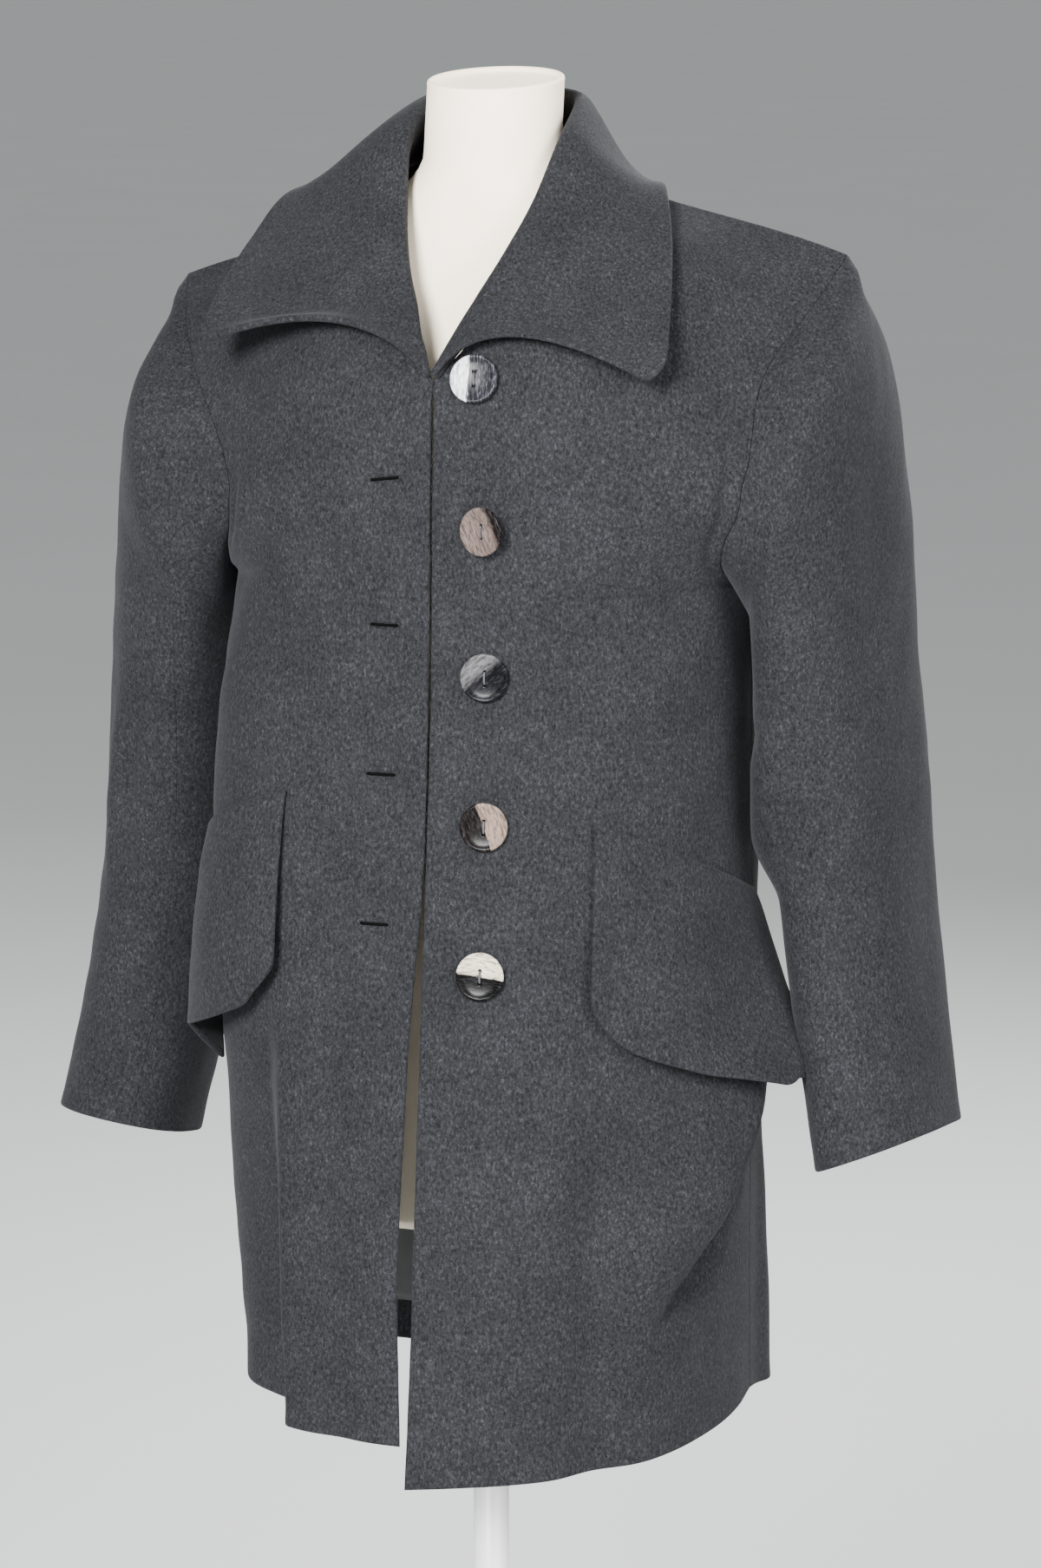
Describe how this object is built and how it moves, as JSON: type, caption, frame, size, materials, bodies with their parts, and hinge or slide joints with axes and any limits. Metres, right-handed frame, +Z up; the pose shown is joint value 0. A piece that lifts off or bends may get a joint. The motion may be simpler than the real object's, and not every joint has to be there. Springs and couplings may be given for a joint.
{
  "type": "wool coat on a limbless dress form with a stand",
  "caption": "Wool coat hanging open on a limbless dress form, with wide collar, front buttons and slanted pocket flaps, on a pole and round base.",
  "frame": {"origin": "centre of the underside of the round base, on the floor", "axes": "+Z up along the pole, -Y out of the front of the coat, +X to the wearer's left"},
  "size_m": [0.6528, 0.348, 1.5109],
  "materials": {
    "wool": "heathered melton, matt with a short nap",
    "lining": "smooth black lining",
    "shell": "polished shell, banded dark grey and cream",
    "form_cover": "smooth ivory cover",
    "stand": "satin light grey paint"
  },
  "bodies": {
    "root": {"front_left": "wool", "front_right": "wool", "back": "wool", "sleeve_top_left": "wool", "sleeve_top_right": "wool", "sleeve_under_left": "wool", "sleeve_under_right": "wool", "collar": "wool", "pocket_flap_left": "wool", "pocket_flap_right": "wool", "lining_back": "lining", "button_1": "shell", "button_2": "shell", "button_3": "shell", "button_4": "shell", "button_5": "shell", "dress_form": "form_cover", "stand_pole": "stand", "stand_base": "stand"}
  },
  "joints": []
}
